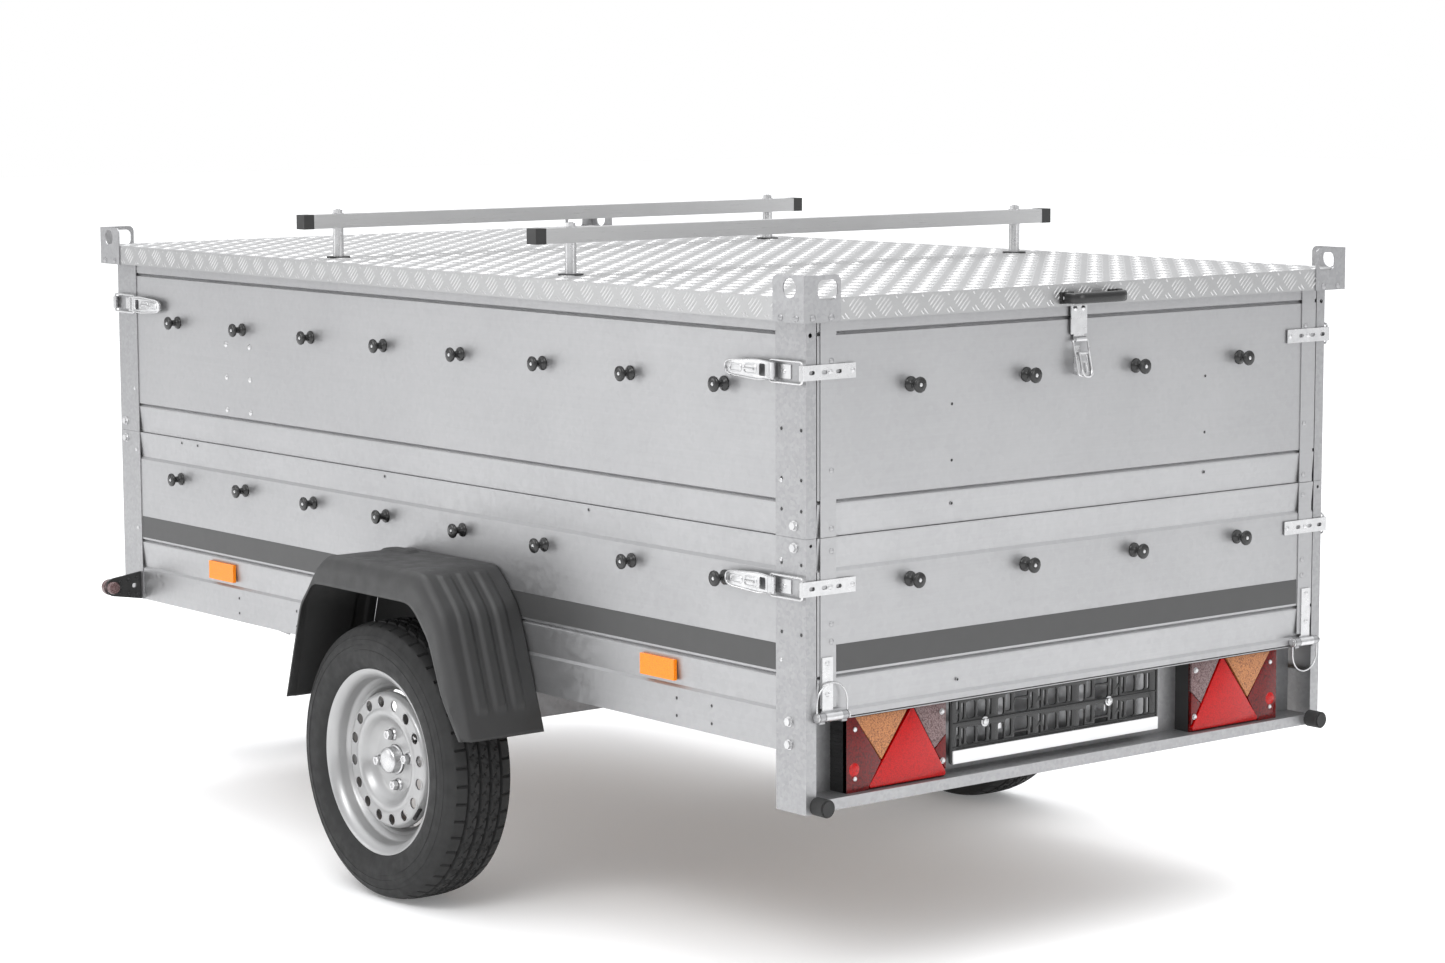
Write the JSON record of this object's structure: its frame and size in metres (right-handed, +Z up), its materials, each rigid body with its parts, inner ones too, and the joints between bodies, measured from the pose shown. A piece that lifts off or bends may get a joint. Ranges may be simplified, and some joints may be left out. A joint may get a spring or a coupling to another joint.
{
  "type": "box trailer",
  "caption": "Two-tier galvanised box trailer with a hinged checker-plate lid, load bars, drop tailgate, sprung wheels, drawbar and jockey wheel.",
  "frame": {"origin": "centre of the overall box at ground level", "axes": "+X to the rear (tailgate), +Y to the right side, +Z up; wheels stand on z = 0"},
  "size_m": [3.415, 1.672, 1.3155],
  "materials": {
    "galvanised_steel": "hot-dip galvanised",
    "floor_board": "film-faced board",
    "coupling_paint": "zinc-grey",
    "black_plastic": "moulded",
    "rubber": "matte",
    "tyre_rubber": "matte",
    "wheel_silver": "silver paint",
    "red_lens": "moulded lens",
    "amber_lens": "moulded lens",
    "checker_plate": "five-bar checker",
    "aluminium_tube": "mill",
    "zinc_plate": "bright zinc",
    "black_paint": "satin",
    "chromed_rod": "polished",
    "cast_arm": "zinc-grey"
  },
  "bodies": {
    "chassis": {"lower_side_panels": "galvanised_steel", "upper_side_panels": "galvanised_steel", "front_panels": "galvanised_steel", "upper_rear_panel": "galvanised_steel", "corner_posts": "galvanised_steel", "floor_panel": "floor_board", "cross_members": "galvanised_steel", "drawbar_arm_left": "galvanised_steel", "drawbar_arm_right": "galvanised_steel", "coupling_head": "coupling_paint", "axle_beam": "galvanised_steel", "mudguard_left": "black_plastic", "mudguard_right": "black_plastic", "lamp_beam": "galvanised_steel", "lamp_housings": "black_plastic", "lamp_lenses": "red_lens", "marker_lamps": "black_plastic", "side_reflectors": "amber_lens", "plate_holder": "black_plastic", "rubber_buffers": "rubber", "fixed_knobs": "black_plastic", "body_fasteners": "zinc_plate", "fixed_fittings": "zinc_plate", "hinge_pins": "zinc_plate", "jockey_tube": "galvanised_steel"},
    "lid": {"lid_plate": "checker_plate", "lid_frame": "aluminium_tube", "lid_handle": "black_plastic", "lid_fittings": "zinc_plate", "corner_eyes": "galvanised_steel", "load_bars": "aluminium_tube", "load_bar_posts": "zinc_plate", "load_bar_pads": "black_plastic"},
    "strut_cylinders": {"strut_cylinders": "black_paint"},
    "strut_rods": {"strut_rods": "chromed_rod"},
    "tailgate": {"tailgate_panel": "galvanised_steel", "tailgate_fittings": "zinc_plate", "tailgate_knobs": "black_plastic"},
    "suspension_arm_left": {"suspension_arm_left": "cast_arm"},
    "suspension_arm_right": {"suspension_arm_right": "cast_arm"},
    "wheel_left": {"hub_left": "zinc_plate", "rim_left": "wheel_silver", "tyre_left": "tyre_rubber"},
    "wheel_right": {"hub_right": "zinc_plate", "rim_right": "wheel_silver", "tyre_right": "tyre_rubber"},
    "coupling_handle": {"coupling_handle": "black_plastic"},
    "jockey_inner_tube": {"jockey_inner_tube": "zinc_plate"},
    "jockey_crank": {"jockey_crank": "zinc_plate"},
    "jockey_fork": {"jockey_fork": "galvanised_steel"},
    "jockey_wheel": {"jockey_wheel": "rubber"},
    "lid_latch": {"lid_latch": "zinc_plate"},
    "hinge_ring_left": {"hinge_rings_left": "zinc_plate"},
    "hinge_ring_right": {"hinge_rings_right": "zinc_plate"},
    "latch_rear_upper_left": {"latch_rear_upper_left": "zinc_plate"},
    "latch_rear_upper_right": {"latch_rear_upper_right": "zinc_plate"},
    "latch_tailgate_left": {"latch_tailgate_left": "zinc_plate"},
    "latch_tailgate_right": {"latch_tailgate_right": "zinc_plate"},
    "latch_front_left": {"latch_front_left": "zinc_plate"},
    "latch_front_right": {"latch_front_right": "zinc_plate"}
  },
  "joints": [
    {"name": "lid_hinge", "type": "hinge", "parent": "chassis", "child": "lid", "pos_m": [-0.7425, 0, 1.176], "axis": [0, -1, 0], "range_deg": [0, 45]},
    {"name": "strut_pivot", "type": "hinge", "parent": "chassis", "child": "strut_cylinders", "pos_m": [-0.2085, 0, 1.014], "axis": [0, -1, 0], "range_deg": [0, 59.5]},
    {"name": "strut_slide", "type": "slide", "parent": "strut_cylinders", "child": "strut_rods", "axis": [0.9341, 0, 0.3571], "range_m": [0, 0.3991]},
    {"name": "tailgate_hinge", "type": "hinge", "parent": "chassis", "child": "tailgate", "pos_m": [1.6565, 0, 0.498], "axis": [0, 1, 0], "range_deg": [0, 170]},
    {"name": "latch_rear_upper_left_pivot", "type": "hinge", "parent": "chassis", "child": "latch_rear_upper_left", "pos_m": [1.647, -0.659, 1.089], "axis": [0, 0, 1], "range_deg": [0, 150]},
    {"name": "latch_rear_upper_right_pivot", "type": "hinge", "parent": "chassis", "child": "latch_rear_upper_right", "pos_m": [1.647, 0.659, 1.089], "axis": [0, 0, -1], "range_deg": [0, 150]},
    {"name": "latch_tailgate_left_pivot", "type": "hinge", "parent": "tailgate", "child": "latch_tailgate_left", "pos_m": [1.647, -0.659, 0.721], "axis": [0, 0, 1], "range_deg": [0, 150]},
    {"name": "latch_tailgate_right_pivot", "type": "hinge", "parent": "tailgate", "child": "latch_tailgate_right", "pos_m": [1.647, 0.659, 0.721], "axis": [0, 0, -1], "range_deg": [0, 150]},
    {"name": "latch_front_left_pivot", "type": "hinge", "parent": "chassis", "child": "latch_front_left", "pos_m": [-0.712, -0.659, 1.089], "axis": [0, 0, -1], "range_deg": [0, 150]},
    {"name": "latch_front_right_pivot", "type": "hinge", "parent": "chassis", "child": "latch_front_right", "pos_m": [-0.712, 0.659, 1.089], "axis": [0, 0, 1], "range_deg": [0, 150]},
    {"name": "lid_latch_pivot", "type": "hinge", "parent": "lid", "child": "lid_latch", "pos_m": [1.6565, -0.014, 1.114], "axis": [0, -1, 0], "range_deg": [-5, 120]},
    {"name": "left_ring_pivot", "type": "hinge", "parent": "tailgate", "child": "hinge_ring_left", "pos_m": [1.6565, -0.6, 0.498], "axis": [0, 1, 0], "range_deg": [0, 185]},
    {"name": "right_ring_pivot", "type": "hinge", "parent": "chassis", "child": "hinge_ring_right", "pos_m": [1.6565, 0.6, 0.498], "axis": [0, -1, 0], "range_deg": [-10, 150]},
    {"name": "suspension_left", "type": "hinge", "parent": "chassis", "child": "suspension_arm_left", "pos_m": [0.41208, -0.744, 0.322], "axis": [0, -1, 0], "range_deg": [-10, 12], "stiffness_Nm_per_rad": 900, "springref_deg": -9.63},
    {"name": "suspension_right", "type": "hinge", "parent": "chassis", "child": "suspension_arm_right", "pos_m": [0.41208, 0.744, 0.322], "axis": [0, -1, 0], "range_deg": [-10, 12], "stiffness_Nm_per_rad": 900, "springref_deg": -9.63},
    {"name": "wheel_spin_left", "type": "hinge", "parent": "suspension_arm_left", "child": "wheel_left", "pos_m": [0.5535, -0.744, 0.272], "axis": [0, 1, 0], "continuous": true},
    {"name": "wheel_spin_right", "type": "hinge", "parent": "suspension_arm_right", "child": "wheel_right", "pos_m": [0.5535, 0.744, 0.272], "axis": [0, 1, 0], "continuous": true},
    {"name": "coupling_lever", "type": "hinge", "parent": "chassis", "child": "coupling_handle", "pos_m": [-1.5445, 0, 0.471], "axis": [0, 1, 0], "range_deg": [0, 45]},
    {"name": "jockey_slide", "type": "slide", "parent": "chassis", "child": "jockey_inner_tube", "axis": [0, 0, 1], "range_m": [0, 0.11]},
    {"name": "jockey_crank_turn", "type": "hinge", "parent": "chassis", "child": "jockey_crank", "pos_m": [-0.8725, 0, 0.663], "axis": [0, 0, 1], "continuous": true},
    {"name": "jockey_swivel", "type": "hinge", "parent": "jockey_inner_tube", "child": "jockey_fork", "pos_m": [-0.8725, 0, 0.23], "axis": [0, 0, 1], "continuous": true},
    {"name": "jockey_wheel_spin", "type": "hinge", "parent": "jockey_fork", "child": "jockey_wheel", "pos_m": [-0.8345, 0, 0.1], "axis": [0, 1, 0], "continuous": true}
  ],
  "couplings": [
    {"joint": "strut_pivot", "follows": "lid_hinge", "ratio": 1.3003},
    {"joint": "strut_slide", "follows": "lid_hinge", "m_per_rad": 0.50428}
  ]
}
